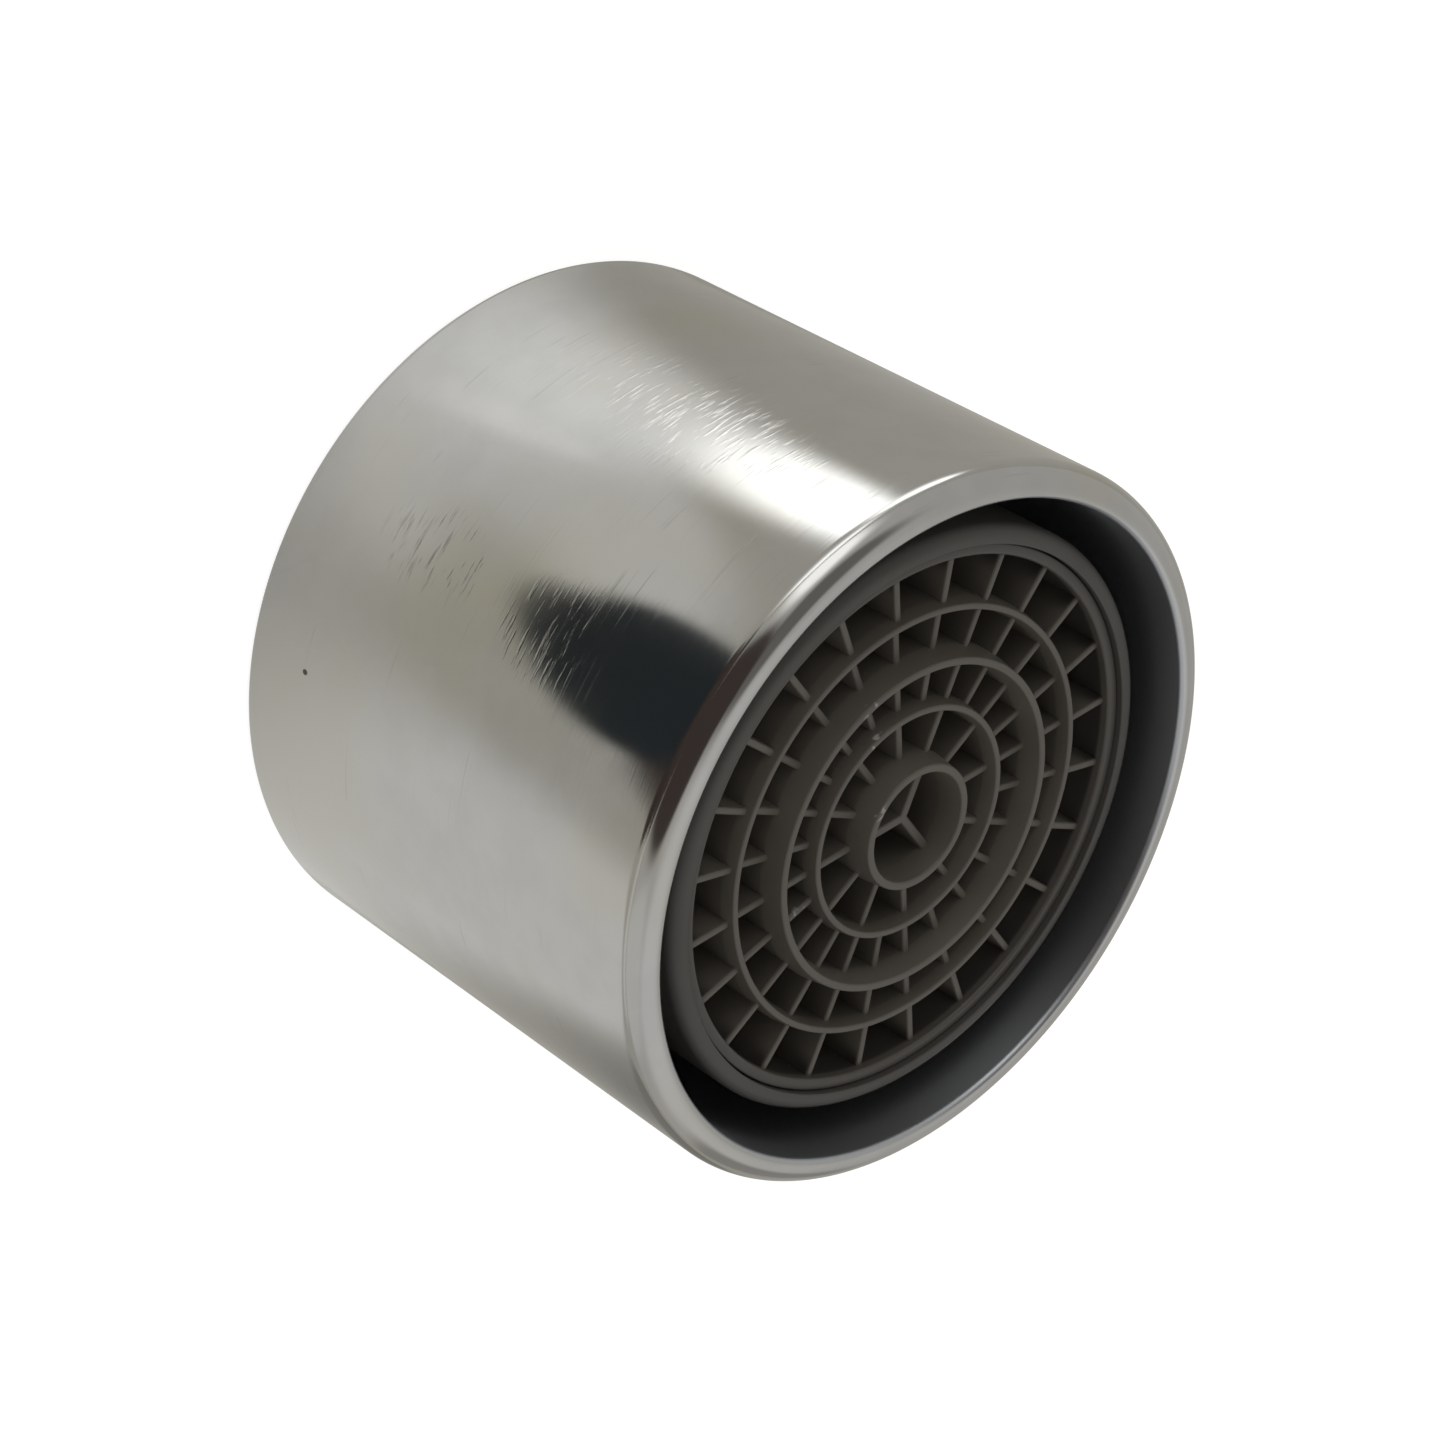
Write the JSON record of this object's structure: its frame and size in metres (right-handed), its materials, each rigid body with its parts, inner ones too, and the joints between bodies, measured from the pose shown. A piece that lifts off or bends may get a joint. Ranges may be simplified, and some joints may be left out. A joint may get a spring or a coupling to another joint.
{
  "type": "tap aerator",
  "caption": "Round metal tap aerator with an internal thread, a rounded outlet lip and a moulded insert whose outlet is a grille of rings and ribs.",
  "frame": {"origin": "centre of the inlet end face, on the axis of the thread", "axes": "+Z along the axis from the inlet to the outlet; one arm of the web in the grille's hub lies along +Y"},
  "size_m": [0.024, 0.024, 0.0189],
  "materials": {
    "plated_metal": "polished plating, lightly scratched",
    "grey_plastic": "satin moulded",
    "pale_plastic": "satin moulded",
    "black_rubber": "matte"
  },
  "bodies": {
    "root": {"shell": "plated_metal", "sealing_washer": "black_rubber", "inlet_strainer": "pale_plastic", "jet_plate": "pale_plastic", "upper_mixing_grid": "pale_plastic", "lower_mixing_grid": "pale_plastic", "insert_housing": "grey_plastic", "outlet_grille": "grey_plastic"}
  },
  "joints": []
}
